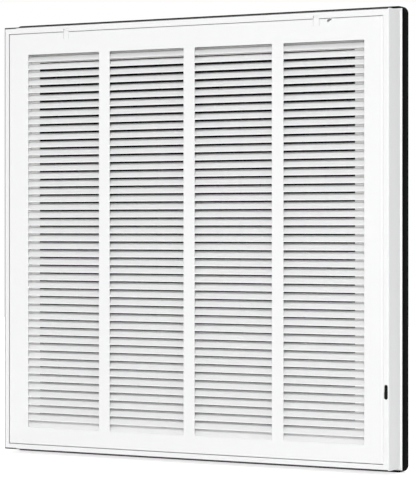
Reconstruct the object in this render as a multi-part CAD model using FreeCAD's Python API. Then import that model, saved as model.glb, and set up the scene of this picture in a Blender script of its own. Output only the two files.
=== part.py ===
import FreeCAD, Part
import math
import os

# Return air filter grille, in millimetres.
# +X is right, +Z is up, and the front looks along -Y. The origin is the centre of the wall plane.
# "depth" is measured back from the front face, and "inset" inwards from the outer edge of a frame.

Vector = FreeCAD.Vector

# Outer case: one strip of steel, formed and closed into a square box frame
face_width = 460.4
face_height = 460.4
case_sheet = 0.6
case_bend = 0.6
border_width = 6.0
hinge_border = 7.2
lip_width = 1.9
lip_round = 0.55
flange_width = 40.2
seat_inset = 14.4
seat_step = 3.0
duct_lip = 3.0

# Foam seal between the case and the wall
seal_thickness = 9.5
seal_width = 18.0
seal_overhang = 2.3
seal_corner = 7.0

# Wall screws, two up each side of the rear flange
screw_hole = 4.8
screw_inset = 9.8
screw_spacing = 260.0

# Door
door_gap = 0.45
door_sheet = 0.6
door_bend = 0.5
door_return = 6.0

# Windows in the door face, with the blades behind them
column_count = 4
mullion_width = 13.2
field_margin_side = 29.0
field_margin_end = 27.0
field_offset = 2.2
field_centre = 0.6
window_corner = 1.0
blade_count = 48
blade_sheet = 0.5
blade_depth = 10.6
blade_room = 0.6
blade_gap = 1.5
blade_land = 0.6
blade_tail_depth = 5.2
blade_tail_rise = 1.5
blade_cover = 0.8

# Folded strips that hold the blade ends
rack_sheet = 0.8
rack_offset = 4.0
rack_foot = 8.0

# Hinge tabs along the top of the door
tab_width = 6.2
tab_spacing = 300.0
tab_root = 7.0
tab_reach = 6.2
tab_notch = 3.0
tab_clearance = 0.35
tab_step = 1.0
tab_bend = 0.2
release_slot_length = 6.4
release_slot_width = 2.7
release_slot_angle = 38.0
release_slot_side = 14.8
release_slot_drop = 1.5

# Slide latch in the right border
latch_rise = 78.3
latch_slot_length = 14.7
latch_slot_width = 3.8
latch_travel = 6.0
latch_plate_width = 4.2
latch_plate_sheet = 1.5
latch_overlap = 4.0
knob_proud = 0.8
bolt_height = 4.6
bolt_thickness = 1.9
bolt_reach = 4.6
latch_plate_corner = 0.8
guide_sheet = 0.6
guide_height = 19.0
guide_flange = 7.0
guide_bend = 0.3

# Filter, with its track on the rear flange
filter_inset = 28.7
filter_depth = 19.0
filter_board = 0.9
filter_side_flap = 11.5
filter_end_flap = 9.5
filter_play_side = 2.7
filter_play_end = 0.8
pleat_count = 16
media_sheet = 2.0
track_sheet = 0.8
track_height = 16.0
track_foot = 7.0

# Clearances
slide_clearance = 0.3
seat_clearance = 0.3
filter_room = 0.5
bolt_clearance = 0.6

# Reach of a cutter past the sheet, and of a welded part into its neighbour
cut_over = 1.0
weld_depth = 0.1

# Derived places
door_depth = door_sheet + blade_depth + blade_room
filter_front = door_depth + filter_room
seat_depth = filter_front + filter_depth + seat_clearance
case_depth = seat_depth + case_sheet - seat_step
front_y = -(case_depth + seal_thickness)
half_width = face_width / 2
half_height = face_height / 2
door_half_width = half_width - border_width - door_gap
door_top = half_height - hinge_border - door_gap
door_bottom = -(half_height - border_width - door_gap)
door_middle = (door_top + door_bottom) / 2
field_width = face_width - 2 * field_margin_side
column_width = (field_width - (column_count - 1) * mullion_width) / column_count
field_left = field_offset - field_width / 2
field_right = field_offset + field_width / 2
blade_pitch = (face_height - 2 * field_margin_end) / blade_count
blade_rise = blade_pitch - blade_gap
field_top = field_centre + blade_pitch * (blade_count - 1) / 2 + blade_gap / 2
field_bottom = field_top - blade_count * blade_pitch
latch_x = half_width - border_width / 2
latch_height = latch_rise - half_height
filter_width = face_width - 2 * filter_inset
filter_height = face_height - 2 * filter_inset


def at(x, depth, z):
    return Vector(x, front_y + depth, z)


def rounded_face(points, place):
    """A flat face from (a, b, corner radius) points, each placed by place(a, b)."""
    count = len(points)
    starts = []
    ends = []
    middles = []
    for index in range(count):
        a, b, radius = points[index]
        corner = Vector(a, b, 0)
        before = Vector(points[index - 1][0], points[index - 1][1], 0) - corner
        after = Vector(points[(index + 1) % count][0], points[(index + 1) % count][1], 0) - corner
        before.normalize()
        after.normalize()
        if radius > 0:
            half_angle = before.getAngle(after) / 2
            tangent = radius / math.tan(half_angle)
            bisector = before + after
            bisector.normalize()
            starts.append(corner + before * tangent)
            ends.append(corner + after * tangent)
            middles.append(corner + bisector * (radius / math.sin(half_angle) - radius))
        else:
            starts.append(corner)
            ends.append(corner)
            middles.append(None)
    edges = []
    for index in range(count):
        start = place(starts[index].x, starts[index].y)
        end = place(ends[index].x, ends[index].y)
        if middles[index] is not None:
            middle = place(middles[index].x, middles[index].y)
            edges.append(Part.Arc(start, middle, end).toShape())
        following = starts[(index + 1) % count]
        next_start = place(following.x, following.y)
        if end.distanceToPoint(next_start) > 1e-6:
            edges.append(Part.LineSegment(end, next_start).toShape())
    return Part.Face(Part.Wire(edges))


def sheet_points(path, thickness, bend):
    """Outline of a bent sheet: path is one side of it, and the sheet lies to the left of the path."""
    near_side = []
    far_side = []
    last = len(path) - 1
    for index, (a, b) in enumerate(path):
        into = None if index == 0 else unit(path[index - 1], path[index])
        out = None if index == last else unit(path[index], path[index + 1])
        if into is None or out is None:
            direction = out if into is None else into
            near_side.append((a, b, 0))
            far_side.append((a - direction[1] * thickness, b + direction[0] * thickness, 0))
            continue
        turn = into[0] * out[1] - into[1] * out[0]
        along = 1 + into[0] * out[0] + into[1] * out[1]
        shift_a = -(into[1] + out[1]) * thickness / along
        shift_b = (into[0] + out[0]) * thickness / along
        near_radius = bend + thickness if turn > 0 else bend
        far_radius = bend if turn > 0 else bend + thickness
        near_side.append((a, b, near_radius))
        far_side.append((a + shift_a, b + shift_b, far_radius))
    return near_side + far_side[::-1]


def unit(start, end):
    length = math.hypot(end[0] - start[0], end[1] - start[1])
    return ((end[0] - start[0]) / length, (end[1] - start[1]) / length)


def block(x_low, x_high, depth_low, depth_high, z_low, z_high):
    return Part.makeBox(x_high - x_low, depth_high - depth_low, z_high - z_low, at(x_low, depth_low, z_low))


def plate(width, height, corner, depth, thickness, x=0.0, z=0.0):
    """A rectangle with rounded corners, seen from the front, cut from sheet."""
    points = [
        (x - width / 2, z - height / 2, corner),
        (x + width / 2, z - height / 2, corner),
        (x + width / 2, z + height / 2, corner),
        (x - width / 2, z + height / 2, corner),
    ]
    face = rounded_face(points, lambda a, b: at(a, depth, b))
    return face.extrude(Vector(0, thickness, 0))


def slot(length, width, depth, thickness, x, z, angle=90.0):
    """A bar with round ends, seen from the front; at 90 degrees it stands upright."""
    shape = plate(length, width, width / 2 - 0.01, depth, thickness)
    shape.rotate(Vector(0, 0, 0), Vector(0, 1, 0), -angle)
    shape.translate(Vector(x, 0, z))
    return shape


def rail(section, half_span, half_reach, mitre):
    """The upper side of a mitred frame; section points are (inset, depth, corner radius)."""
    over = mitre
    face = rounded_face(section, lambda inset, depth: at(-half_span - over, depth, half_reach - inset))
    bar = face.extrude(Vector(2 * (half_span + over), 0, 0))
    wedge_points = [
        at(-half_span - over, -over, half_reach + over),
        at(half_span + over, -over, half_reach + over),
        at(half_span - mitre, -over, half_reach - mitre),
        at(-half_span + mitre, -over, half_reach - mitre),
    ]
    wedge = Part.Face(Part.makePolygon(wedge_points + wedge_points[:1]))
    return bar.common(wedge.extrude(Vector(0, -front_y + 2 * over, 0)))


def mitred_frame(section, half_across, half_up, mitre):
    """A rectangular frame bent from one formed strip, with mitred corners."""
    top = rail(section, half_across, half_up, mitre)
    bottom = top.mirror(Vector(0, 0, 0), Vector(0, 0, 1))
    right = rail(section, half_up, half_across, mitre)
    right.rotate(Vector(0, 0, 0), Vector(0, 1, 0), 90)
    left = right.mirror(Vector(0, 0, 0), Vector(1, 0, 0))
    return top.fuse([bottom, right, left]).removeSplitter()


def screw_places():
    side = half_width - screw_inset
    return [(x, z) for x in (-side, side) for z in (-screw_spacing / 2, screw_spacing / 2)]


def drill_screws(shape):
    for x, z in screw_places():
        start = at(x, case_depth - 2 * case_sheet, z)
        hole = Part.makeCylinder(screw_hole / 2, seal_thickness + 4 * case_sheet, start, Vector(0, 1, 0))
        shape = shape.cut(hole)
    return shape


def tab_places():
    return (-tab_spacing / 2, tab_spacing / 2)


def make_outer_case():
    sheet = case_sheet
    rim = case_depth + seat_step + duct_lip
    slant = sheet * math.tan(math.pi / 8)
    section = [
        (border_width, 0, 0),
        (0, 0, case_bend + sheet),
        (0, case_depth - 2 * sheet, case_bend / 2),
        (-lip_width, case_depth - 2 * sheet, lip_round),
        (-lip_width, case_depth, lip_round),
        (seat_inset, case_depth, 0),
        (seat_inset + seat_step, case_depth + seat_step, 0),
        (flange_width - sheet, case_depth + seat_step, case_bend),
        (flange_width - sheet, rim, 0),
        (flange_width, rim, 0),
        (flange_width, seat_depth, case_bend + sheet),
        (seat_inset + seat_step + slant, seat_depth, 0),
        (seat_inset + slant, case_depth - sheet, 0),
        (sheet, case_depth - sheet, case_bend),
        (sheet, sheet, case_bend),
        (border_width, sheet, 0),
    ]
    case = mitred_frame(section, half_width, half_height, flange_width + lip_width)
    inner_edge = half_width - border_width + weld_depth
    hinge_strip = block(-inner_edge, inner_edge, 0, sheet, half_height - hinge_border,
                        half_height - border_width + weld_depth)
    case = case.fuse(hinge_strip).removeSplitter()
    case = drill_screws(case)
    case = case.cut(slot(latch_slot_length, latch_slot_width, -cut_over, case_sheet + 2 * cut_over,
                         latch_x, latch_height))
    notch = tab_width / 2 + tab_clearance
    notch_low = half_height - hinge_border - cut_over
    notch_high = half_height - hinge_border + tab_notch
    for x in tab_places():
        case = case.cut(block(x - notch, x + notch, -cut_over, case_sheet + weld_depth, notch_low, notch_high))
    return case


def make_wall_seal():
    outer = lip_width + seal_overhang
    width = face_width + 2 * outer
    height = face_height + 2 * outer
    ring = plate(width, height, seal_corner, case_depth, seal_thickness)
    inner_corner = seal_corner / 4
    ring = ring.cut(plate(width - 2 * seal_width, height - 2 * seal_width, inner_corner,
                          case_depth - cut_over, seal_thickness + 2 * cut_over))
    return drill_screws(ring)


def make_filter_track():
    """An angle ring round the filter: its foot is welded to the rear flange."""
    half_across = filter_width / 2 + filter_play_side + track_sheet + track_foot
    half_up = filter_height / 2 + filter_play_end + track_sheet + track_foot
    inner = track_foot + track_sheet
    path = [(inner, seat_depth - track_height), (inner, seat_depth), (0, seat_depth)]
    section = sheet_points(path, track_sheet, case_bend)
    return mitred_frame(section, half_across, half_up, 2 * track_foot)


def filter_shift(shape):
    """The filter stands on the lower side of its track, and against the left one."""
    shape.translate(Vector(seat_clearance - filter_play_side, 0, seat_clearance - filter_play_end))
    return shape


def make_filter_frame():
    """A folded board channel round the pleats, open at the front and back."""
    board = filter_board
    front = filter_front
    back = filter_front + filter_depth
    flap = filter_side_flap
    section = [
        (flap, front, 0), (0, front, board), (0, back, board), (flap, back, 0),
        (flap, back - board, 0), (board, back - board, 0), (board, front + board, 0), (flap, front + board, 0),
    ]
    frame = mitred_frame(section, filter_width / 2, filter_height / 2, 2 * flap)
    trim_width = filter_width - 2 * filter_side_flap
    trim_height = filter_height - 2 * filter_end_flap
    frame = frame.cut(plate(trim_width, trim_height, 2 * board, front - cut_over, filter_depth + 2 * cut_over))
    return filter_shift(frame)


def make_filter_media():
    inside = filter_width - 2 * filter_board - 2 * seat_clearance
    front = filter_front + filter_board + seat_clearance
    back = filter_front + filter_depth - filter_board - seat_clearance - media_sheet
    step = inside / (2 * pleat_count)
    ridge = [(-inside / 2 + step * index, front if index % 2 else back) for index in range(2 * pleat_count + 1)]
    under = [(x, depth + media_sheet) for x, depth in reversed(ridge)]
    length = filter_height - 2 * filter_board - 2 * seat_clearance
    points = [at(x, depth, -length / 2) for x, depth in ridge + under]
    face = Part.Face(Part.makePolygon(points + points[:1]))
    return filter_shift(face.extrude(Vector(0, 0, length)))


def bolt_low():
    return latch_height - latch_travel / 2 - latch_plate_length() / 2


def latch_plate_length():
    return latch_slot_length + latch_travel + 2 * latch_overlap


def bolt_front():
    return case_sheet + slide_clearance + 2 * latch_plate_sheet


def make_latch_slider():
    """Knob in the slot, plate behind the border, and a bolt that reaches into the door's edge."""
    front = case_sheet + slide_clearance
    middle = latch_height - latch_travel / 2
    plate_left = latch_x - latch_plate_width / 2
    body = plate(latch_plate_width, latch_plate_length(), latch_plate_corner, front, latch_plate_sheet,
                 latch_x, middle)
    knob_length = latch_slot_length - latch_travel - 2 * slide_clearance
    knob = slot(knob_length, latch_slot_width - 2 * slide_clearance, -knob_proud,
                knob_proud + front + weld_depth, latch_x, middle)
    low = bolt_low()
    high = low + bolt_height
    rear = bolt_front() + bolt_thickness
    foot = block(plate_left, plate_left + latch_plate_width, front + weld_depth, rear, low, high)
    bolt = block(door_half_width - bolt_reach / 2, plate_left + weld_depth, bolt_front(), rear, low, high)
    return body.fuse([knob, foot, bolt]).removeSplitter()


def make_latch_guide():
    """A strap welded inside the case that holds the latch plate against the border."""
    sheet = guide_sheet
    back = case_sheet + 2 * slide_clearance + latch_plate_sheet
    lip_x = latch_x - latch_plate_width / 2 - slide_clearance
    wall_x = half_width - case_sheet
    path = [(lip_x, case_sheet), (lip_x, back), (wall_x, back), (wall_x, back + guide_flange)]
    outline = sheet_points(path, sheet, guide_bend)
    bottom = bolt_low() + bolt_height + latch_travel + bolt_clearance
    face = rounded_face(outline, lambda a, b: at(a, b, bottom))
    return face.extrude(Vector(0, 0, guide_height))


def cut_bolt_notch(door):
    """An L-shaped notch in the door's right edge: in from the back, then up behind a hook."""
    front = bolt_front() - slide_clearance
    hook = bolt_front() + bolt_thickness + slide_clearance
    low = bolt_low() - bolt_clearance
    high = bolt_low() + bolt_height + bolt_clearance
    inner = door_half_width - bolt_reach / 2 - bolt_clearance
    outer = door_half_width + cut_over
    way_in = block(inner, outer, front, door_depth + cut_over, low, high)
    pocket = block(door_half_width - 2 * door_sheet, outer, front, hook, low, high + latch_travel)
    return door.cut(way_in).cut(pocket)


def add_hinge_tabs(door):
    """Tabs that step back through notches in the top border and hook behind it."""
    top = door_top
    slit = tab_width / 2 + tab_clearance
    root = top - tab_root
    border_edge = half_height - hinge_border
    path = [
        (0, root - tab_width / 4),
        (0, border_edge),
        (tab_step, border_edge + tab_notch / 2),
        (tab_step, border_edge + tab_reach - door_gap),
    ]
    outline = sheet_points([(b, a) for a, b in path], door_sheet, tab_bend)
    for x in tab_places():
        door = door.cut(block(x - slit, x + slit, -cut_over, door_depth + cut_over, root, top + cut_over))
        face = rounded_face(outline, lambda a, b: at(x - tab_width / 2, b, a))
        door = door.fuse(face.extrude(Vector(tab_width, 0, 0)))
    return door


def window_places():
    places = []
    for index in range(column_count):
        left = field_left + index * (column_width + mullion_width)
        places.append(left + column_width / 2)
    return places


def make_door_face():
    sheet = door_sheet
    margin = 4 * door_return
    section = [
        (margin, 0, 0),
        (0, 0, door_bend + sheet),
        (0, door_depth, door_bend + sheet),
        (door_return, door_depth, 0),
        (door_return, door_depth - sheet, 0),
        (sheet, door_depth - sheet, door_bend),
        (sheet, sheet, door_bend),
        (margin, sheet, 0),
    ]
    door_half_height = (door_top - door_bottom) / 2
    door = mitred_frame(section, door_half_width, door_half_height, margin)
    inner_width = 2 * (door_half_width - margin + cut_over)
    inner_height = 2 * (door_half_height - margin + cut_over)
    door = door.fuse(plate(inner_width, inner_height, 0, 0, sheet)).removeSplitter()
    door.translate(Vector(0, 0, door_middle))
    window_low = field_bottom + blade_cover
    window_height = field_top - blade_cover - window_low
    for x in window_places():
        door = door.cut(plate(column_width, window_height, window_corner, -cut_over, sheet + 2 * cut_over,
                              x, window_low + window_height / 2))
    door = cut_bolt_notch(door)
    door = add_hinge_tabs(door)
    release_x = tab_spacing / 2 + release_slot_side
    release_z = door_top - release_slot_drop
    door = door.cut(slot(release_slot_length, release_slot_width, -cut_over, 3 * sheet + cut_over,
                         release_x, release_z, release_slot_angle))
    return door.removeSplitter()


def make_blade(index):
    """One blade: a narrow land against the back of the face, a steep front part and a flatter tail."""
    low = field_top - (index + 1) * blade_pitch
    high = low + blade_rise
    rear = door_sheet + blade_depth
    path = [(low, door_sheet), (low + blade_land, door_sheet),
            (high - blade_tail_rise, rear - blade_tail_depth), (high, rear)]
    outline = sheet_points(path, blade_sheet, 0)
    left = field_left - rack_offset
    right = field_right + rack_offset
    face = rounded_face([(z, depth, 0) for z, depth, bend in outline], lambda z, depth: at(left, depth, z))
    return face.extrude(Vector(right - left, 0, 0))


def make_blade_rack(side):
    """A folded strip down one end of the blades, its foot welded to the back of the face."""
    edge = field_right + rack_offset if side > 0 else field_left - rack_offset
    path = [(edge, door_depth), (edge, door_sheet), (edge + side * rack_foot, door_sheet)]
    if side > 0:
        outline = sheet_points(path, rack_sheet, case_bend)
    else:
        outline = sheet_points(path[::-1], rack_sheet, case_bend)
    face = rounded_face(outline, lambda a, b: at(a, b, field_bottom - blade_cover))
    return face.extrude(Vector(0, 0, field_top - field_bottom + 2 * blade_cover))


def save(shape, name):
    shape.exportStep("parts/" + name + ".step")


def main():
    os.makedirs("parts", exist_ok=True)
    save(make_outer_case(), "outer_case")
    save(make_wall_seal(), "wall_seal")
    save(make_filter_track(), "filter_track")
    save(make_filter_frame(), "filter_frame")
    save(make_filter_media(), "filter_media")
    save(make_latch_slider(), "latch_slider")
    save(make_latch_guide(), "latch_guide")
    save(make_door_face(), "door_face")
    save(make_blade_rack(-1), "blade_rack_left")
    save(make_blade_rack(1), "blade_rack_right")
    for index in range(blade_count):
        save(make_blade(index), "blade_%02d" % (index + 1))


main()
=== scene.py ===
import math

import bmesh
import bpy
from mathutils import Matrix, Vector


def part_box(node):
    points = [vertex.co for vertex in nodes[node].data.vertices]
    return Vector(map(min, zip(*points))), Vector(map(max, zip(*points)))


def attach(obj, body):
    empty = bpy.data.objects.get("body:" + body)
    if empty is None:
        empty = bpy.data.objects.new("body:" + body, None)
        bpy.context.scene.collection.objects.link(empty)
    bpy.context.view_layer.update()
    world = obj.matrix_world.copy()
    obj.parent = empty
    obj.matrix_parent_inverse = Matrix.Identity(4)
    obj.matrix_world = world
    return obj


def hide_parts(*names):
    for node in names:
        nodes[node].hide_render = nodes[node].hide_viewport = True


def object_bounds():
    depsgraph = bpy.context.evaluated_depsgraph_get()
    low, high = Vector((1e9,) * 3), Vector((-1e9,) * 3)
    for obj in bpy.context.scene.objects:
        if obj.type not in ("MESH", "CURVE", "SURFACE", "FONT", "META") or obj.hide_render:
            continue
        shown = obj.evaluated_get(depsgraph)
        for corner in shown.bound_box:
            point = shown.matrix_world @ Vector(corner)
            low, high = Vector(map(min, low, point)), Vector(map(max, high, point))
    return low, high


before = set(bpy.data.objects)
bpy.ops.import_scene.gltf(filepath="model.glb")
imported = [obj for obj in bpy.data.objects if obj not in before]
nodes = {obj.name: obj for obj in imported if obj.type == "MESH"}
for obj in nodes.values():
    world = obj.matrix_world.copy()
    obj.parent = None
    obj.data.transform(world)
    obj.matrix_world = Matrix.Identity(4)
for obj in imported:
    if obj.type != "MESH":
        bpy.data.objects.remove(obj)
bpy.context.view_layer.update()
mm = 0.001

# Where the photographer stood
shot = {
    "place": (1.136, -2.035, 0.0113),
    "yaw": 29.1,
    "lens": 165.4,
    "shiftY": -0.024,
    "farthest": 60.0,
}

studio = {
    "worldStrength": 0.27,
    # name, degrees to the right, degrees up, distance, size, power
    "lamps": [
        ("frontLamp", 25.0, 5.0, 9.0, 2.2, 515.0),
        ("upperLamp", 25.0, 38.0, 9.0, 2.2, 99.0),
        ("sideLamp", 84.0, 4.0, 4.0, 1.0, 12.0),
        ("backLamp", 195.0, 55.0, 6.0, 2.5, 100.0),
    ],
}


# Small helpers for node trees

def makeTree(name, kind, inputs, outputs):
    tree = bpy.data.node_groups.new(name, kind)
    for label, socketType, value in inputs:
        socket = tree.interface.new_socket(label, in_out="INPUT", socket_type=socketType)
        if value is not None:
            socket.default_value = value
    for label, socketType in outputs:
        tree.interface.new_socket(label, in_out="OUTPUT", socket_type=socketType)
    start = tree.nodes.new("NodeGroupInput")
    end = tree.nodes.new("NodeGroupOutput")
    return tree, start, end


def add(tree, kind, **settings):
    node = tree.nodes.new(kind)
    for key, value in settings.items():
        if key in node.inputs:
            node.inputs[key].default_value = value
        else:
            setattr(node, key, value)
    return node


def calculate(tree, operation, first, second=0.0):
    node = add(tree, "ShaderNodeMath", operation=operation)
    for socket, value in zip(node.inputs, (first, second)):
        if isinstance(value, bpy.types.NodeSocket):
            tree.links.new(value, socket)
        else:
            socket.default_value = value
    return node.outputs[0]


def vector(tree, **parts):
    node = add(tree, "ShaderNodeCombineXYZ")
    for axis, value in parts.items():
        tree.links.new(value, node.inputs[axis])
    return node.outputs[0]


def paint(piece, material):
    piece.data.materials.clear()
    piece.data.materials.append(material)


# Materials

noiseSizes = {
    "peelDetail": 2.0,
    "cloudDetail": 3.0,
    "fibreDetail": 5.0,
    "fibreRoughness": 0.6,
    "peelDepth": 0.2 * mm,
    "fibreDepth": 0.3 * mm,
}


def makeSkinGroup():
    # the fine waviness of a sprayed or moulded skin, and slow clouds of tone across it
    tree, start, end = makeTree(
        "coatSkin", "ShaderNodeTree",
        [("Size", "NodeSocketFloat", 900.0), ("Cloud", "NodeSocketFloat", 9.0),
         ("Low", "NodeSocketFloat", 0.35), ("High", "NodeSocketFloat", 0.45)],
        [("Height", "NodeSocketFloat"), ("Tone", "NodeSocketFloat"), ("Roughness", "NodeSocketFloat")])
    link = tree.links.new
    place = add(tree, "ShaderNodeTexCoord")
    peel = add(tree, "ShaderNodeTexNoise", Detail=noiseSizes["peelDetail"])
    cloud = add(tree, "ShaderNodeTexNoise", Detail=noiseSizes["cloudDetail"])
    spread = add(tree, "ShaderNodeMapRange")
    link(place.outputs["Object"], peel.inputs["Vector"])
    link(place.outputs["Object"], cloud.inputs["Vector"])
    link(start.outputs["Size"], peel.inputs["Scale"])
    link(start.outputs["Cloud"], cloud.inputs["Scale"])
    link(cloud.outputs[0], spread.inputs["Value"])
    link(start.outputs["Low"], spread.inputs["To Min"])
    link(start.outputs["High"], spread.inputs["To Max"])
    link(peel.outputs[0], end.inputs["Height"])
    link(cloud.outputs[0], end.inputs["Tone"])
    link(spread.outputs[0], end.inputs["Roughness"])
    return tree


skinGroup = makeSkinGroup()


def makeFibreGroup():
    # two layers of stretched grain crossing at an angle, for foam, board and filter cloth
    tree, start, end = makeTree(
        "pressedFibres", "ShaderNodeTree",
        [("Size", "NodeSocketFloat", 500.0), ("Stretch", "NodeSocketVector", None),
         ("Turn", "NodeSocketFloat", 0.6)],
        [("Height", "NodeSocketFloat"), ("Tone", "NodeSocketFloat")])
    link = tree.links.new
    place = add(tree, "ShaderNodeTexCoord")
    layers = []
    for _ in range(2):
        layer = add(tree, "ShaderNodeMapping")
        noise = add(tree, "ShaderNodeTexNoise", Detail=noiseSizes["fibreDetail"],
                    Roughness=noiseSizes["fibreRoughness"])
        link(place.outputs["Object"], layer.inputs["Vector"])
        link(start.outputs["Stretch"], layer.inputs["Scale"])
        link(layer.outputs[0], noise.inputs["Vector"])
        link(start.outputs["Size"], noise.inputs["Scale"])
        layers.append((layer, noise))
    (_, first), (crossing, second) = layers
    link(vector(tree, Y=start.outputs["Turn"]), crossing.inputs["Rotation"])
    link(calculate(tree, "MULTIPLY", first.outputs[0], second.outputs[0]), end.inputs["Height"])
    link(first.outputs[0], end.inputs["Tone"])
    return tree


fibreGroup = makeFibreGroup()


def blankMaterial(name):
    material = bpy.data.materials.new(name)
    material.use_nodes = True
    return material, material.node_tree, material.node_tree.nodes["Principled BSDF"]


def mixTones(tree, factor, first, second):
    # a tone is a fixed colour or another node's output
    mix = add(tree, "ShaderNodeMix", data_type="RGBA")
    for label, tone in (("A", first), ("B", second)):
        if isinstance(tone, bpy.types.NodeSocket):
            tree.links.new(tone, mix.inputs[label])
        else:
            mix.inputs[label].default_value = (*tone, 1)
    tree.links.new(factor, mix.inputs["Factor"])
    return mix.outputs["Result"]


def rough(tree, shader, height, strength, depth):
    bump = add(tree, "ShaderNodeBump", Strength=strength, Distance=depth)
    tree.links.new(height, bump.inputs["Height"])
    tree.links.new(bump.outputs[0], shader.inputs["Normal"])


def ramp(tree, value, low, high):
    # 0 at low and 1 at high, whichever of them is larger
    span = add(tree, "ShaderNodeMapRange", interpolation_type="SMOOTHSTEP")
    span.inputs["From Min"].default_value = low
    span.inputs["From Max"].default_value = high
    tree.links.new(value, span.inputs["Value"])
    return span.outputs[0]


def bendMask(tree, turned, sizes):
    # 1 where the sheet turns over, 0 where it lies flat either way
    return calculate(tree, "SUBTRACT", ramp(tree, turned, *sizes["bend"]), ramp(tree, turned, *sizes["flat"]))


# painted shade on the case's enamel, along the edges where its sheet turns over
def foldTone(tree, color, sizes):
    place = add(tree, "ShaderNodeTexCoord")
    facing = add(tree, "ShaderNodeSeparateXYZ")
    spot = add(tree, "ShaderNodeSeparateXYZ")
    tree.links.new(place.outputs["Normal"], facing.inputs[0])
    tree.links.new(place.outputs["Object"], spot.inputs[0])
    # painted shade: the bends along the upper, lower and left edges are painted dark
    upright = calculate(tree, "ABSOLUTE", facing.outputs["Z"])
    leftward = calculate(tree, "MULTIPLY", facing.outputs["X"], -1.0)
    bent = bendMask(tree, calculate(tree, "MAXIMUM", upright, leftward), sizes)
    across = calculate(tree, "ABSOLUTE", spot.outputs["X"])
    rise = calculate(tree, "ABSOLUTE", spot.outputs["Z"])
    outer = ramp(tree, calculate(tree, "MAXIMUM", across, rise), *sizes["edge"])
    bent = calculate(tree, "MULTIPLY", bent, outer)
    # painted shade: a faint dark rim down the front's left edge, and a darker one round its two corners
    left = calculate(tree, "MULTIPLY", spot.outputs["X"], -1.0)
    forward = calculate(tree, "MULTIPLY", spot.outputs["Y"], -1.0)
    corner = calculate(tree, "MULTIPLY", ramp(tree, rise, *sizes["rim"]), ramp(tree, left, *sizes["corner"]))
    side = calculate(tree, "MULTIPLY", ramp(tree, left, *sizes["rim"]), sizes["rimShare"])
    rim = calculate(tree, "MAXIMUM", side, corner)
    rim = calculate(tree, "MULTIPLY", rim, ramp(tree, forward, *sizes["front"]))
    color = mixTones(tree, calculate(tree, "MAXIMUM", bent, rim), color, sizes["color"])
    # the right front bend and the rear lip catch two lamps, so painted shade tones them down
    rightBend = bendMask(tree, facing.outputs["X"], sizes)
    lit = calculate(tree, "MAXIMUM", rightBend, ramp(tree, forward, *sizes["lip"]))
    return mixTones(tree, lit, color, sizes["shade"])


def makeCoat(name, sizes):
    material, tree, shader = blankMaterial(name)
    skin = add(tree, "ShaderNodeGroup", node_tree=skinGroup)
    for label in ("Size", "Cloud", "Low", "High"):
        skin.inputs[label].default_value = sizes[label.lower()]
    color = mixTones(tree, skin.outputs["Tone"], sizes["dark"], sizes["light"])
    if "fold" in sizes:
        color = foldTone(tree, color, sizes["fold"])
    tree.links.new(color, shader.inputs["Base Color"])
    tree.links.new(skin.outputs["Roughness"], shader.inputs["Roughness"])
    rough(tree, shader, skin.outputs["Height"], sizes["bump"], noiseSizes["peelDepth"])
    shader.inputs["Specular IOR Level"].default_value = sizes["gloss"]
    return material


def makeFibre(name, sizes):
    material, tree, shader = blankMaterial(name)
    fibres = add(tree, "ShaderNodeGroup", node_tree=fibreGroup)
    for label in ("Size", "Stretch"):
        fibres.inputs[label].default_value = sizes[label.lower()]
    color = mixTones(tree, fibres.outputs["Tone"], sizes["dark"], sizes["light"])
    tree.links.new(color, shader.inputs["Base Color"])
    rough(tree, shader, fibres.outputs["Height"], sizes["bump"], noiseSizes["fibreDepth"])
    shader.inputs["Roughness"].default_value = sizes["roughness"]
    shader.inputs["Specular IOR Level"].default_value = sizes["gloss"]
    return material


# "size" and "cloud" are scales of noise, so a larger one is a finer grain

enamelSizes = {
    "dark": (0.85, 0.852, 0.854), "light": (0.872, 0.874, 0.876), "size": 1400, "cloud": 8,
    "low": 0.32, "high": 0.42, "bump": 0.2, "gloss": 0.5,
}
# a lighter copy of the same white enamel for the blades and their racks: painted light, since they lie in
# shade behind the face
paintedLightBladeEnamelSizes = {**enamelSizes, "dark": (0.96, 0.962, 0.965), "light": (0.98, 0.982, 0.985)}
# the case's enamel, with painted shade on its bends, edges and rear lip
foldedEnamelSizes = {
    **enamelSizes,
    "fold": {
        # the colour of the painted shade
        "color": (0.02, 0.02, 0.02),
        "bend": (0.08, 0.25), "flat": (0.99, 0.999),     # how far the sheet has turned, from 0 to 1
        "edge": (227.5 * mm, 228.5 * mm), "rim": (228.3 * mm, 228.9 * mm),     # from the middle of the face
        "corner": (213 * mm, 216 * mm), "rimShare": 0.42,
        "front": (37.6 * mm, 38.2 * mm), "lip": (11.5 * mm, 11.0 * mm),     # forward of the wall
        "shade": (0.76, 0.765, 0.77),
    },
}
foamSizes = {
    "dark": (0.0012, 0.0012, 0.0012), "light": (0.005, 0.005, 0.005), "size": 1300,
    "stretch": (1.0, 1.0, 1.0), "bump": 0.8, "roughness": 0.95, "gloss": 0.06,
}
boardSizes = {
    "dark": (0.8, 0.79, 0.77), "light": (0.95, 0.945, 0.93), "size": 600,
    "stretch": (1.0, 1.0, 0.25), "bump": 0.35, "roughness": 0.8, "gloss": 0.3,
}
clothSizes = {
    "dark": (0.005, 0.005, 0.0055), "light": (0.032, 0.032, 0.035), "size": 900,
    "stretch": (1.0, 1.0, 0.15), "bump": 0.8, "roughness": 0.95, "gloss": 0.1,
}
plasticSizes = {
    "dark": (0.002, 0.002, 0.002), "light": (0.004, 0.004, 0.004), "size": 1600, "cloud": 60,
    "low": 0.5, "high": 0.6, "bump": 0.2, "gloss": 0.15,
}
wireSizes = {
    "dark": (0.05, 0.05, 0.052), "light": (0.09, 0.09, 0.093), "size": 2500, "cloud": 200,
    "low": 0.3, "high": 0.5, "bump": 0.1, "gloss": 0.5,
}

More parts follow.
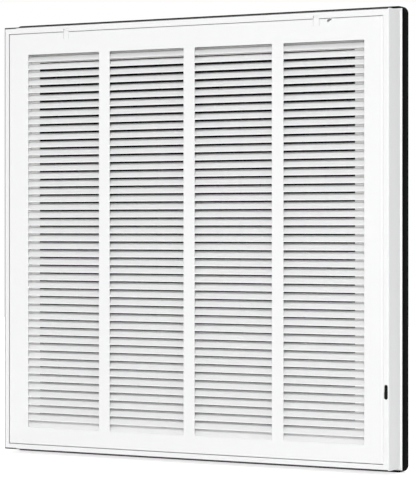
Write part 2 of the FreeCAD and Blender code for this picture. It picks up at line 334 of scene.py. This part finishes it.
enamel = makeCoat("whiteEnamel", enamelSizes)
paintedLightBladeEnamel = makeCoat("paintedLightBladeEnamel", paintedLightBladeEnamelSizes)
foldedEnamel = makeCoat("foldedEnamel", foldedEnamelSizes)
foam = makeFibre("sealFoam", foamSizes)
board = makeFibre("filterBoard", boardSizes)
cloth = makeFibre("filterCloth", clothSizes)
plastic = makeCoat("latchPlastic", plasticSizes)
wireCoat = makeCoat("wireCoat", wireSizes)

# the blade racks take the blades' lighter copy of the enamel, which is painted light
coats = {
    "outer_case": foldedEnamel, "wall_seal": foam, "filter_frame": board, "filter_media": cloth,
    "latch_slider": plastic, "blade_rack_left": paintedLightBladeEnamel, "blade_rack_right": paintedLightBladeEnamel,
}
for name, node in nodes.items():
    paint(node, coats.get(name, enamel))
print("materials on", len(nodes), "nodes")


# Pieces grown by node trees

def sweep(tree, path, section):
    skin = add(tree, "GeometryNodeCurveToMesh")
    skin.inputs["Fill Caps"].default_value = True
    tree.links.new(path, skin.inputs["Curve"])
    tree.links.new(section, skin.inputs["Profile Curve"])
    return skin.outputs[0]


def copiesInRow(tree, count, first, step, piece):
    row = add(tree, "GeometryNodeMeshLine")
    place = add(tree, "GeometryNodeInstanceOnPoints")
    tree.links.new(count, row.inputs["Count"])
    tree.links.new(first, row.inputs["Start Location"])
    tree.links.new(step, row.inputs["Offset"])
    tree.links.new(row.outputs[0], place.inputs["Points"])
    tree.links.new(piece, place.inputs["Instance"])
    return place.outputs[0]


def moveTo(tree, geometry, place):
    seat = add(tree, "GeometryNodeTransform")
    tree.links.new(geometry, seat.inputs["Geometry"])
    tree.links.new(place, seat.inputs["Translation"])
    return seat.outputs[0]


def finishTree(tree, start, end, geometry):
    real = add(tree, "GeometryNodeRealizeInstances")
    coat = add(tree, "GeometryNodeSetMaterial")
    tree.links.new(geometry, real.inputs[0])
    tree.links.new(real.outputs[0], coat.inputs["Geometry"])
    tree.links.new(start.outputs["Material"], coat.inputs["Material"])
    tree.links.new(coat.outputs[0], end.inputs[0])
    return tree


def growMesh(name, tree, settings):
    holder = bpy.data.objects.new("holder", bpy.data.meshes.new("holder"))
    bpy.context.scene.collection.objects.link(holder)
    modifier = holder.modifiers.new("grow", "NODES")
    modifier.node_group = tree
    for socket in tree.interface.items_tree:
        if socket.in_out == "INPUT" and socket.name in settings:
            modifier[socket.identifier] = settings[socket.name]
    graph = bpy.context.evaluated_depsgraph_get()
    mesh = bpy.data.meshes.new_from_object(holder.evaluated_get(graph))
    mesh.name = name
    holder.modifiers.remove(modifier)
    bpy.data.objects.remove(holder)
    piece = bpy.data.objects.new(name, mesh)
    bpy.context.scene.collection.objects.link(piece)
    shell = bmesh.new()
    shell.from_mesh(mesh)
    bmesh.ops.recalc_face_normals(shell, faces=shell.faces)
    shell.to_mesh(mesh)
    shell.free()
    mesh.shade_flat()
    # the tree leaves an empty first slot, so the piece gets one slot of its own
    mesh.polygons.foreach_set("material_index", [0] * len(mesh.polygons))
    paint(piece, settings["Material"])
    print(name, "has", len(mesh.polygons), "faces")
    return piece


# Blades down the door

bladeNames = sorted(name for name in nodes if name.startswith("blade_") and "rack" not in name)
firstLow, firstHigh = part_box(bladeNames[0])
secondLow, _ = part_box(bladeNames[1])

bladeSizes = {
    "sheet": 0.5 * mm,
    "land": 0.6 * mm,          # upright strip along the front edge
    "tailRise": 1.5 * mm,      # the flatter rear part
    "tailDepth": 5.2 * mm,
    "bend": 0.7 * mm,
    "bendSteps": 3,
}


def middleOfSheet(points, sheet):
    # the middle line of a bent sheet, from the line of its front face
    turned = [Vector((line.y, -line.x)).normalized() for line in (b - a for a, b in zip(points, points[1:]))]
    middle = []
    for index, point in enumerate(points):
        before = turned[max(index - 1, 0)]
        after = turned[min(index, len(turned) - 1)]
        middle.append(point + (before + after) * (sheet / 2 / (1 + before.dot(after))))
    return middle


def makeBladeTree():
    tree, start, end = makeTree(
        "bladeRow", "GeometryNodeTree",
        [("Count", "NodeSocketInt", 48), ("Pitch", "NodeSocketFloat", 0.008),
         ("First", "NodeSocketVector", None), ("Length", "NodeSocketFloat", 0.4),
         ("Land", "NodeSocketVector", None), ("Knee", "NodeSocketVector", None),
         ("Rear", "NodeSocketVector", None), ("Sheet", "NodeSocketFloat", 0.0005),
         ("Bend", "NodeSocketFloat", 0.0006), ("Material", "NodeSocketMaterial", None)],
        [("Geometry", "NodeSocketGeometry")])
    link = tree.links.new
    # the blade's section, seen from its end, starts at the origin
    corners = ("Land", "Knee", "Rear")
    path = add(tree, "GeometryNodeMeshLine", Count=len(corners) + 1)
    pathCurve = add(tree, "GeometryNodeMeshToCurve")
    index = add(tree, "GeometryNodeInputIndex")
    corner = add(tree, "GeometryNodeIndexSwitch", data_type="VECTOR")
    for _ in corners[1:]:
        corner.index_switch_items.new()
    for number, label in enumerate(corners, start=1):
        link(start.outputs[label], corner.inputs[str(number)])
    move = add(tree, "GeometryNodeSetPosition")
    fillet = add(tree, "GeometryNodeFilletCurve", mode="POLY", Count=bladeSizes["bendSteps"])
    strip = add(tree, "GeometryNodeCurvePrimitiveQuadrilateral")
    link(path.outputs[0], pathCurve.inputs[0])
    link(pathCurve.outputs[0], move.inputs["Geometry"])
    link(index.outputs[0], corner.inputs["Index"])
    link(corner.outputs[0], move.inputs["Position"])
    link(move.outputs[0], fillet.inputs["Curve"])
    link(start.outputs["Bend"], fillet.inputs["Radius"])
    link(start.outputs["Length"], strip.inputs["Width"])
    link(start.outputs["Sheet"], strip.inputs["Height"])
    blade = sweep(tree, fillet.outputs[0], strip.outputs[0])
    step = vector(tree, Z=calculate(tree, "MULTIPLY", start.outputs["Pitch"], -1.0))
    blades = copiesInRow(tree, start.outputs["Count"], start.outputs["First"], step, blade)
    return finishTree(tree, start, end, blades)


def makeBlades():
    size = firstHigh - firstLow
    sheet = bladeSizes["sheet"]
    slope = math.atan2(bladeSizes["tailRise"], bladeSizes["tailDepth"])
    rear = Vector((size.y - sheet * math.sin(slope), size.z))
    knee = rear - Vector((bladeSizes["tailDepth"], bladeSizes["tailRise"]))
    front = [Vector((0, 0)), Vector((0, bladeSizes["land"])), knee, rear]
    middle = middleOfSheet(front, sheet)
    land, knee, rear = [(0, point.x - middle[0].x, point.y) for point in middle[1:]]
    blades = growMesh("blades", makeBladeTree(), {
        "Count": len(bladeNames),
        "Pitch": firstLow.z - secondLow.z,
        "First": ((firstLow.x + firstHigh.x) / 2, firstLow.y + middle[0].x, firstLow.z),
        "Length": size.x,
        "Land": land,
        "Knee": knee,
        "Rear": rear,
        "Sheet": sheet,
        "Bend": bladeSizes["bend"],
        "Material": paintedLightBladeEnamel,
    })
    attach(blades, "door")
    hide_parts(*bladeNames)


# Filter cloth, folded to and fro

clothLow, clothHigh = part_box("filter_media")

pleatSizes = {
    "count": 16,
    "thickness": 1.3 * mm,
    "reach": 1.4 * mm,       # what the cloth's thickness takes of the depth
    "sideReach": 0.5 * mm,   # and of each side
    "fold": 1.4 * mm,
    "foldSteps": 4,
}


def makePleatTree():
    tree, start, end = makeTree(
        "pleatRow", "GeometryNodeTree",
        [("Folds", "NodeSocketInt", 32), ("First", "NodeSocketVector", None),
         ("Step", "NodeSocketVector", None), ("Depth", "NodeSocketFloat", 0.015),
         ("Height", "NodeSocketFloat", 0.4), ("Thickness", "NodeSocketFloat", 0.001),
         ("Fold", "NodeSocketFloat", 0.001), ("Material", "NodeSocketMaterial", None)],
        [("Geometry", "NodeSocketGeometry")])
    link = tree.links.new
    # every second point of a straight row moves back by the depth
    ridge = add(tree, "GeometryNodeMeshLine")
    index = add(tree, "GeometryNodeInputIndex")
    odd = calculate(tree, "MODULO", index.outputs[0], 2.0)
    back = calculate(tree, "SUBTRACT", 1.0, odd)
    depth = calculate(tree, "MULTIPLY", back, start.outputs["Depth"])
    move = add(tree, "GeometryNodeSetPosition")
    path = add(tree, "GeometryNodeMeshToCurve")
    fillet = add(tree, "GeometryNodeFilletCurve", mode="POLY", Count=pleatSizes["foldSteps"])
    strip = add(tree, "GeometryNodeCurvePrimitiveQuadrilateral")
    link(calculate(tree, "ADD", start.outputs["Folds"], 1.0), ridge.inputs["Count"])
    link(start.outputs["First"], ridge.inputs["Start Location"])
    link(start.outputs["Step"], ridge.inputs["Offset"])
    link(ridge.outputs[0], move.inputs["Geometry"])
    link(vector(tree, Y=depth), move.inputs["Offset"])
    link(move.outputs[0], path.inputs[0])
    link(path.outputs[0], fillet.inputs["Curve"])
    link(start.outputs["Fold"], fillet.inputs["Radius"])
    link(start.outputs["Thickness"], strip.inputs["Width"])
    link(start.outputs["Height"], strip.inputs["Height"])
    return finishTree(tree, start, end, sweep(tree, fillet.outputs[0], strip.outputs[0]))


def makePleats():
    size = clothHigh - clothLow
    folds = 2 * pleatSizes["count"]
    half = pleatSizes["reach"] / 2
    side = pleatSizes["sideReach"]
    pleats = growMesh("pleats", makePleatTree(), {
        "Folds": folds,
        "First": (clothLow.x + side, clothLow.y + half, (clothLow.z + clothHigh.z) / 2),
        "Step": ((size.x - 2 * side) / folds, 0, 0),
        "Depth": size.y - pleatSizes["reach"],
        "Height": size.z,
        "Thickness": pleatSizes["thickness"],
        "Fold": pleatSizes["fold"],
        "Material": cloth,
    })
    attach(pleats, "case")
    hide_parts("filter_media")


# Wire grid glued to the back of the cloth

frameLow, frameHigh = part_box("filter_frame")

wireGridSizes = {
    "sideInset": 10.5 * mm,      # the ends are held under the board's rear flap
    "endInset": 8.5 * mm,
    "wires": 21,
    "radius": 0.4 * mm,
    "wireSides": 6,
    "fromBack": 1.1 * mm,
}


def makeWireTree():
    tree, start, end = makeTree(
        "wireGrid", "GeometryNodeTree",
        [("Wires", "NodeSocketInt", 20), ("Centre", "NodeSocketVector", None),
         ("Width", "NodeSocketFloat", 0.4), ("Height", "NodeSocketFloat", 0.4),
         ("Radius", "NodeSocketFloat", 0.0004), ("Material", "NodeSocketMaterial", None)],
        [("Geometry", "NodeSocketGeometry")])
    link = tree.links.new
    grid = add(tree, "GeometryNodeJoinGeometry")
    gaps = calculate(tree, "SUBTRACT", start.outputs["Wires"], 1.0)
    ring = add(tree, "GeometryNodeCurvePrimitiveCircle", Resolution=wireGridSizes["wireSides"])
    link(start.outputs["Radius"], ring.inputs["Radius"])
    # upright wires stand in a row across the width, level ones up the height
    for across, rowAxis, along, wireAxis in (("Width", "X", "Height", "Z"), ("Height", "Z", "Width", "X")):
        halfAlong = calculate(tree, "MULTIPLY", start.outputs[along], 0.5)
        halfAcross = calculate(tree, "MULTIPLY", start.outputs[across], 0.5)
        wireEnd = vector(tree, **{wireAxis: halfAlong})
        wireStart = add(tree, "ShaderNodeVectorMath", operation="SCALE", Scale=-1.0)
        line = add(tree, "GeometryNodeCurvePrimitiveLine")
        link(wireEnd, wireStart.inputs[0])
        link(wireStart.outputs[0], line.inputs["Start"])
        link(wireEnd, line.inputs["End"])
        wire = sweep(tree, line.outputs[0], ring.outputs[0])
        first = vector(tree, **{rowAxis: calculate(tree, "MULTIPLY", halfAcross, -1.0)})
        step = vector(tree, **{rowAxis: calculate(tree, "DIVIDE", start.outputs[across], gaps)})
        link(copiesInRow(tree, start.outputs["Wires"], first, step, wire), grid.inputs[0])
    return finishTree(tree, start, end, moveTo(tree, grid.outputs[0], start.outputs["Centre"]))


def makeWireGrid():
    middle = (frameLow + frameHigh) / 2
    grid = growMesh("wireGrid", makeWireTree(), {
        "Wires": wireGridSizes["wires"],
        "Centre": (middle.x, frameHigh.y - wireGridSizes["fromBack"], middle.z),
        "Width": frameHigh.x - frameLow.x - 2 * wireGridSizes["sideInset"],
        "Height": frameHigh.z - frameLow.z - 2 * wireGridSizes["endInset"],
        "Radius": wireGridSizes["radius"],
        "Material": wireCoat,
    })
    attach(grid, "case")


# Spot welds: down both sides, and along the top and bottom where "Ends" is on

trackLow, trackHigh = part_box("filter_track")
leftRackLow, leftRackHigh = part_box("blade_rack_left")
_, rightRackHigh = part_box("blade_rack_right")

weldSizes = {
    "radius": 1.7 * mm,
    "proud": 0.2 * mm,
    "segments": 14,
    "rings": 6,
    "trackCount": 8,
    "trackFoot": 3.5 * mm,       # from the outer edge of the track's foot
    "trackMiddle": 0.1 * mm,     # in front of the joint, half way through both sheets
    "trackSheets": 1.4 * mm,
    "rackCount": 12,
    "rackSheet": 0.8 * mm,
    "rackFoot": 4.0 * mm,
    "rackEnd": 12.0 * mm,
}


def makeWeldTree():
    tree, start, end = makeTree(
        "spotWelds", "GeometryNodeTree",
        [("Count", "NodeSocketInt", 8), ("Centre", "NodeSocketVector", None),
         ("Half Width", "NodeSocketFloat", 0.2), ("Half Height", "NodeSocketFloat", 0.2),
         ("Radius", "NodeSocketFloat", 0.0017), ("Depth", "NodeSocketFloat", 0.0003),
         ("Ends", "NodeSocketBool", False), ("Material", "NodeSocketMaterial", None)],
        [("Geometry", "NodeSocketGeometry")])
    link = tree.links.new
    right = start.outputs["Half Width"]
    top = start.outputs["Half Height"]
    left = calculate(tree, "MULTIPLY", right, -1.0)
    bottom = calculate(tree, "MULTIPLY", top, -1.0)
    lowLeft = vector(tree, X=left, Z=bottom)
    highLeft = vector(tree, X=left, Z=top)
    lowRight = vector(tree, X=right, Z=bottom)
    highRight = vector(tree, X=right, Z=top)
    sides = add(tree, "GeometryNodeJoinGeometry")
    ends = add(tree, "GeometryNodeJoinGeometry")
    for rows, first, last in ((sides, lowLeft, highLeft), (sides, lowRight, highRight),
                              (ends, lowLeft, lowRight), (ends, highLeft, highRight)):
        row = add(tree, "GeometryNodeMeshLine", mode="END_POINTS")
        link(start.outputs["Count"], row.inputs["Count"])
        link(first, row.inputs["Start Location"])
        link(last, row.inputs["Offset"])     # in this mode it is the last point
        link(row.outputs[0], rows.inputs[0])
    choice = add(tree, "GeometryNodeSwitch", input_type="GEOMETRY")
    both = add(tree, "GeometryNodeJoinGeometry")
    merge = add(tree, "GeometryNodeMergeByDistance")
    link(start.outputs["Ends"], choice.inputs["Switch"])
    link(ends.outputs[0], choice.inputs["True"])
    link(sides.outputs[0], both.inputs[0])
    link(choice.outputs[0], both.inputs[0])
    link(both.outputs[0], merge.inputs["Geometry"])
    # a ball of radius 1, flattened to a weld button
    ball = add(tree, "GeometryNodeMeshUVSphere", Segments=weldSizes["segments"], Rings=weldSizes["rings"],
               Radius=1.0)
    place = add(tree, "GeometryNodeInstanceOnPoints")
    flattened = vector(tree, X=start.outputs["Radius"], Y=start.outputs["Depth"], Z=start.outputs["Radius"])
    link(merge.outputs[0], place.inputs["Points"])
    link(ball.outputs[0], place.inputs["Instance"])
    link(flattened, place.inputs["Scale"])
    return finishTree(tree, start, end, moveTo(tree, place.outputs[0], start.outputs["Centre"]))


weldTree = makeWeldTree()


def makeTrackWelds():
    foot = weldSizes["trackFoot"]
    middle = (trackLow + trackHigh) / 2
    welds = growMesh("trackWelds", weldTree, {
        "Count": weldSizes["trackCount"],
        "Centre": (middle.x, trackHigh.y - weldSizes["trackMiddle"], middle.z),
        "Half Width": (trackHigh.x - trackLow.x) / 2 - foot,
        "Half Height": (trackHigh.z - trackLow.z) / 2 - foot,
        "Radius": weldSizes["radius"],
        "Depth": weldSizes["trackSheets"] / 2 + weldSizes["proud"],
        "Ends": True,
        "Material": enamel,
    })
    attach(welds, "case")


def makeRackWelds():
    foot = weldSizes["rackFoot"]
    left = leftRackLow.x + foot
    right = rightRackHigh.x - foot
    welds = growMesh("rackWelds", weldTree, {
        "Count": weldSizes["rackCount"],
        "Centre": ((left + right) / 2, leftRackLow.y + weldSizes["rackSheet"],
                   (leftRackLow.z + leftRackHigh.z) / 2),
        "Half Width": (right - left) / 2,
        "Half Height": (leftRackHigh.z - leftRackLow.z) / 2 - weldSizes["rackEnd"],
        "Radius": weldSizes["radius"],
        "Depth": weldSizes["proud"],
        "Ends": False,
        "Material": enamel,
    })
    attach(welds, "door")


# Grip ribs across the latch knob

latchLow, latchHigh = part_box("latch_slider")

ribSizes = {
    "count": 5,
    "pitch": 1.35 * mm,
    "radius": 0.3 * mm,
    "ribSides": 10,
    "length": 2.0 * mm,
    "fromRight": 2.1 * mm,     # the knob's middle, from the plate's right edge
    "sunk": 0.05 * mm,
}


def makeRibTree():
    tree, start, end = makeTree(
        "gripRibs", "GeometryNodeTree",
        [("Count", "NodeSocketInt", 5), ("Middle", "NodeSocketVector", None),
         ("Pitch", "NodeSocketFloat", 0.001), ("Length", "NodeSocketFloat", 0.002),
         ("Radius", "NodeSocketFloat", 0.0003), ("Material", "NodeSocketMaterial", None)],
        [("Geometry", "NodeSocketGeometry")])
    link = tree.links.new
    half = calculate(tree, "MULTIPLY", start.outputs["Length"], 0.5)
    line = add(tree, "GeometryNodeCurvePrimitiveLine")
    ring = add(tree, "GeometryNodeCurvePrimitiveCircle", Resolution=ribSizes["ribSides"])
    link(vector(tree, X=calculate(tree, "MULTIPLY", half, -1.0)), line.inputs["Start"])
    link(vector(tree, X=half), line.inputs["End"])
    link(start.outputs["Radius"], ring.inputs["Radius"])
    rib = sweep(tree, line.outputs[0], ring.outputs[0])
    gaps = calculate(tree, "SUBTRACT", start.outputs["Count"], 1.0)
    span = calculate(tree, "MULTIPLY", gaps, start.outputs["Pitch"])
    first = vector(tree, Z=calculate(tree, "MULTIPLY", span, -0.5))
    step = vector(tree, Z=start.outputs["Pitch"])
    ribs = copiesInRow(tree, start.outputs["Count"], first, step, rib)
    return finishTree(tree, start, end, moveTo(tree, ribs, start.outputs["Middle"]))


def makeGripRibs():
    ribs = growMesh("gripRibs", makeRibTree(), {
        "Count": ribSizes["count"],
        "Middle": (latchHigh.x - ribSizes["fromRight"], latchLow.y + ribSizes["sunk"],
                   (latchLow.z + latchHigh.z) / 2),
        "Pitch": ribSizes["pitch"],
        "Length": ribSizes["length"],
        "Radius": ribSizes["radius"],
        "Material": plastic,
    })
    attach(ribs, "latch")


makeBlades()
makePleats()
makeWireGrid()
makeTrackWelds()
makeRackWelds()
makeGripRibs()


# Camera, lamps, floor and background

def makeCamera():
    data = bpy.data.cameras.new("camera")
    data.lens = shot["lens"]
    data.shift_y = shot["shiftY"]
    data.clip_end = shot["farthest"]
    camera = bpy.data.objects.new("camera", data)
    camera.location = shot["place"]
    camera.rotation_euler = (math.radians(90), 0, math.radians(shot["yaw"]))     # level
    bpy.context.scene.collection.objects.link(camera)
    bpy.context.scene.camera = camera


def addLamp(name, azimuth, elevation, distance, size, power):
    data = bpy.data.lights.new(name, "AREA")
    data.size = size
    data.energy = power
    lamp = bpy.data.objects.new(name, data)
    side = math.radians(azimuth)
    rise = math.radians(elevation)
    reach = distance * math.cos(rise)
    lamp.location = (reach * math.sin(side), -reach * math.cos(side), distance * math.sin(rise))
    lamp.rotation_euler = lamp.location.to_track_quat("Z", "Y").to_euler()
    bpy.context.scene.collection.objects.link(lamp)


makeCamera()
for settings in studio["lamps"]:
    addLamp(*settings)
print("camera and", len(studio["lamps"]), "lamps")


def seenWhite(tree):
    # 1 for the rays that see the background, 0 for those that light the object
    rays = add(tree, "ShaderNodeLightPath")
    seen = calculate(tree, "MAXIMUM", rays.outputs["Is Camera Ray"], rays.outputs["Is Glossy Ray"])
    return calculate(tree, "MAXIMUM", seen, rays.outputs["Is Transmission Ray"])


floorSizes = {
    "half": 3.0,
    "color": (0.86, 0.86, 0.86),
    "roughness": (0.55, 0.65),
    "grain": 40.0,
    "grainDetail": 4.0,
    "lift": 0.62,     # what the floor gains for the camera, so that it meets the white background
}


def makeFloor():
    low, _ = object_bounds()
    half = floorSizes["half"]
    corners = [(-half, -half, low.z), (half, -half, low.z), (half, half, low.z), (-half, half, low.z)]
    mesh = bpy.data.meshes.new("studioFloor")
    mesh.from_pydata(corners, [], [(0, 1, 2, 3)])
    floor = bpy.data.objects.new("studioFloor", mesh)
    bpy.context.scene.collection.objects.link(floor)
    material, tree, shader = blankMaterial("studioFloor")
    place = add(tree, "ShaderNodeTexCoord")
    grain = add(tree, "ShaderNodeTexNoise", Scale=floorSizes["grain"], Detail=floorSizes["grainDetail"])
    tone = add(tree, "ShaderNodeMapRange")
    tone.inputs["To Min"].default_value, tone.inputs["To Max"].default_value = floorSizes["roughness"]
    tree.links.new(place.outputs["Object"], grain.inputs["Vector"])
    tree.links.new(grain.outputs[0], tone.inputs["Value"])
    tree.links.new(tone.outputs[0], shader.inputs["Roughness"])
    shader.inputs["Base Color"].default_value = (*floorSizes["color"], 1)
    shader.inputs["Emission Color"].default_value = (1, 1, 1, 1)
    lift = calculate(tree, "MULTIPLY", seenWhite(tree), floorSizes["lift"])
    tree.links.new(lift, shader.inputs["Emission Strength"])
    paint(floor, material)


def makeWorld():
    world = bpy.data.worlds.new("studio")
    bpy.context.scene.world = world
    world.use_nodes = True
    tree = world.node_tree
    background = tree.nodes["Background"]
    strength = add(tree, "ShaderNodeMapRange")
    strength.inputs["To Min"].default_value = studio["worldStrength"]
    strength.inputs["To Max"].default_value = 1.0     # plain white where it is seen
    tree.links.new(seenWhite(tree), strength.inputs["Value"])
    tree.links.new(strength.outputs[0], background.inputs["Strength"])
    background.inputs["Color"].default_value = (1, 1, 1, 1)


makeFloor()
makeWorld()
bpy.context.scene.view_settings.view_transform = "Standard"
print("floor and background")
